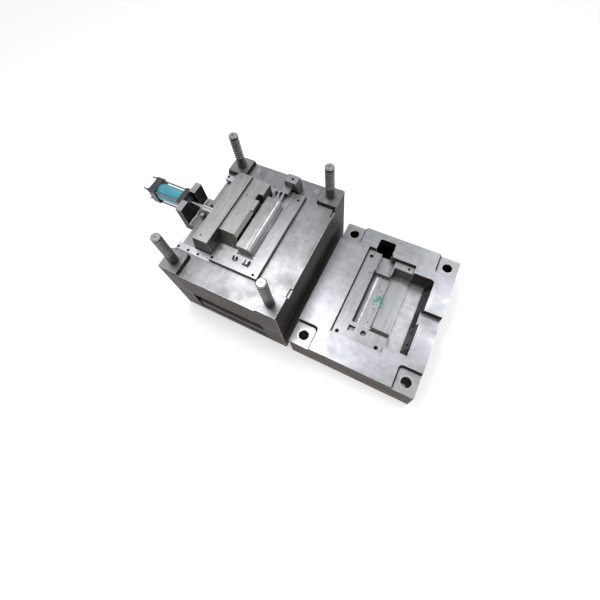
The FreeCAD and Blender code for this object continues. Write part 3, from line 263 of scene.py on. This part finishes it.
def black_oxide():
    """Black oxide on socket screws: a thin satin black with a faint sheen of oil.

    Its crystals are drawn 2.5 mm wide, far coarser than they are.
    """
    material, tree = new_material("black_oxide")
    place = add(tree, "TexCoord").outputs["Object"]
    speck = grain(tree, place, 2.5)
    tone = blend_colour(tree, band(tree, speck, 0.35, 0.7), linear("#141414"),
                        linear("#2C2A28"))
    rough = band(tree, speck, 0.2, 0.8, 0.35, 0.55)
    shader = add(tree, "BsdfPrincipled", {"Base Color": tone, "Metallic": 0.6,
                                          "Roughness": rough})
    add(tree, "OutputMaterial", {"Surface": shader})
    return material


def enamel(name, body, shade, roughness):
    """Sprayed machine enamel: a smooth skin with faint orange peel and dusty patches.

    The peel is 2 mm wide and 0.02 mm deep, and the patches are 30 mm wide.
    """
    material, tree = new_material(name)
    place = add(tree, "TexCoord").outputs["Object"]
    dust = grain(tree, place, 30.0, detail=5.0)
    peel = grain(tree, place, 2.0)
    tone = blend_colour(tree, band(tree, dust, 0.35, 0.7), linear(body), linear(shade))
    rough = band(tree, dust, 0.3, 0.7, roughness, roughness + 0.12)
    relief = add(tree, "Bump", {"Height": peel, "Distance": 0.02 * MM, "Strength": 0.5})
    shader = add(tree, "BsdfPrincipled", {"Base Color": tone, "Roughness": rough,
                                          "Normal": relief, "Coat Weight": 0.4,
                                          "Coat Roughness": 0.15})
    add(tree, "OutputMaterial", {"Surface": shader})
    return material


def plain_metal(name, light, dark, roughness):
    """A small metal piece with a fine cast or drawn skin.

    The skin's grain is drawn 4 mm wide, far coarser than it is.
    """
    material, tree = new_material(name)
    place = add(tree, "TexCoord").outputs["Object"]
    fine = grain(tree, place, 4.0, detail=5.0)
    tone = blend_colour(tree, band(tree, fine, 0.3, 0.7), linear(light), linear(dark))
    rough = band(tree, fine, 0.2, 0.8, roughness, roughness + 0.12)
    shader = add(tree, "BsdfPrincipled", {"Base Color": tone, "Metallic": 1.0,
                                          "Roughness": rough})
    add(tree, "OutputMaterial", {"Surface": shader})
    return material


def dress(material, *names):
    """Gives CAD nodes their finish."""
    for name in names:
        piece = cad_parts[name]
        if not piece.material_slots:
            piece.data.materials.append(material)
        for slot in piece.material_slots:
            slot.material = material


# ---- Finishes ----
# Surface-ground pre-hardened mould steel: a satin top with wheel lines along the plate,
# over dark milled sides with an oil film and some rust bloom, darkened further as painted
# shade.
core_plate_steel = steel("ground_core_plate", "#A9A9AC", "#211E1A", 0.36, ALONG_Y,
                         rust=0.6, clouds=0.5)
# The same steel with lines across the plate and browner sides, their rust darkened
# further as painted shade. The deep post pocket is painted black: painted shade down the
# pocket.
post_pocket_shade = ((538, 269, 80), 62, 200, "#0C0C0C")
cavity_plate_steel = steel("ground_cavity_plate", "#BDBEC3", "#3A3327", 0.36, ALONG_X,
                           rust=0.85, clouds=0.35, spots=[post_pocket_shade])
# The slide is ground all over: an even grey satin, with its sides painted darker than its
# top as painted shade.
slide_steel = steel("ground_slide_steel", "#B2B2B1", "#65635F", 0.38, ALONG_Y, clouds=0.3)
# Inserts are ground finer than the plates, so they mirror the room a little more. Their
# darker sides are painted shade.
insert_steel = steel("ground_insert_steel", "#B4B5B8", "#716E69", 0.32, ALONG_Y,
                     clouds=0.25)
# Green spotting compound, rubbed on to see where the halves meet, is left on the insert.
spotting_compound = (((607, 18, 95), 34, 9, "#2F8F82"), ((612, 42, 95), 22, 6, "#3E9C62"))
# Its darker sides are painted shade, as on the other inserts.
cavity_insert_steel = steel("ground_cavity_insert", "#B2B3B5", "#6E6B66", 0.32, ALONG_Y,
                            clouds=0.25, spots=spotting_compound)
# Hardened gibs, ground and clean: the brightest bars on the mould. Their darker sides are
# painted shade.
gib_steel = steel("ground_gib_steel", "#E0E1E5", "#6A6862", 0.34, clouds=0.1)
# Clamp plates, spacers and ejector plates keep their milled skin: rough, dull, brownish.
# Their dark sides are partly that skin, partly painted shade.
mill_plate_steel = steel("milled_plate_steel", "#8A8782", "#2E2A25", 0.5, rust=0.4,
                         clouds=0.4)
# The bracket is milled too, but cleaner: a plain grey with little rust. Its darker sides
# are painted shade.
bracket_steel = steel("milled_bracket_steel", "#B0B0B1", "#3E3B37", 0.42, rust=0.1)
# The moulding surface is stoned and polished: a soft sheen that runs round its side. Its
# side is painted a little darker than its top, as painted shade.
boss_steel = steel("polished_boss_steel", "#B4B4B5", "#A2A2A3", 0.27, ALONG_Y, clouds=0.2,
                   side_rough=0.27, line_depth=0.06)
# Hardened pins, ground round: bright, with dark smears of grease; their sides are painted
# darker than their ends, as painted shade.
pin_steel = steel("hardened_pin_steel", "#D0D0D2", "#5A5753", 0.3, ALONG_Z, clouds=0.5,
                  side_rough=0.32, cloud_tone="#2E2B28")
# Bushings show a bright ring on top and a bore painted nearly black: painted shade down
# the hole.
bushing_steel = steel("bushing_steel_shaded_bore", "#CBCBC8", "#0B0B0B", 0.3, ALONG_Z,
                      clouds=0.2, side_rough=0.5)
screw_black = black_oxide()
# Glossy teal on the cylinder's tube, flat charcoal on its caps, blue on the springs.
teal_enamel = enamel("teal_cylinder_enamel", "#4DA3B5", "#3E8B9C", 0.22)
charcoal_enamel = enamel("charcoal_cap_enamel", "#37373C", "#29292D", 0.45)
spring_enamel = enamel("blue_spring_enamel", "#1F3F8A", "#182F66", 0.35)
# Cast bronze is a dull warm yellow, hard chrome nearly a mirror, drawn steel a grey satin.
guide_bronze = plain_metal("guide_bronze", "#B08A4A", "#8A6A36", 0.4)
rod_chrome = plain_metal("chromed_rod", "#E2E3E6", "#C6C8CC", 0.12)
drawn_steel = plain_metal("drawn_tie_rod_steel", "#A2A2A2", "#6E6C69", 0.35)

# ---- Which piece wears which finish ----
dress(core_plate_steel, "core_plate")
dress(cavity_plate_steel, "cavity_plate")
dress(mill_plate_steel, "bottom_clamp_plate", "top_clamp_plate", "spacer_block_left",
      "spacer_block_right", "ejector_base_plate", "ejector_retainer_plate",
      "support_pillars")
dress(slide_steel, "slide_carrier", "slide_face_insert", "rod_coupling")
dress(cavity_insert_steel, "cavity_insert")
dress(insert_steel, "core_insert", "rear_post_block", "rear_shutoff_block",
      "cavity_block", "cavity_rear_bar", "wear_plate", "wedge_plates", "slide_stops",
      "core_detail_inserts", "locating_ring", "sprue_bushing")
dress(gib_steel, "front_gib", "rear_gib")
dress(bracket_steel, "cylinder_bracket")
dress(boss_steel, "core_boss")
dress(pin_steel, "leader_pins", "ejector_pins", "return_pins", "ejector_guide_pins",
      "slide_core_pins", "rest_buttons", "piston")
dress(bushing_steel, "guide_bushings")
dress(rod_chrome, "piston_rod")
dress(drawn_steel, "tie_rods")
dress(teal_enamel, "cylinder_tube")
dress(charcoal_enamel, "cylinder_front_cap", "cylinder_rear_cap")
dress(spring_enamel, "return_springs")
dress(guide_bronze, "ejector_guide_bushes")
dress(screw_black, "bottom_screws", "core_insert_screws", "rear_post_screw", "gib_screws",
      "bracket_screws", "slide_screws", "ejector_plate_screws", "rear_bar_screw",
      "cavity_insert_screws", "wedge_plate_screws", "locating_ring_screws",
      "cavity_clamp_screws", "tie_rod_nuts")

studio_world(WORLD_LEVEL, CEILING)
studio_floor(FLOOR_SIZE)
for lamp in LAMPS:
    soft_lamp(*lamp)
camera()
bpy.context.scene.view_settings.view_transform = "Standard"
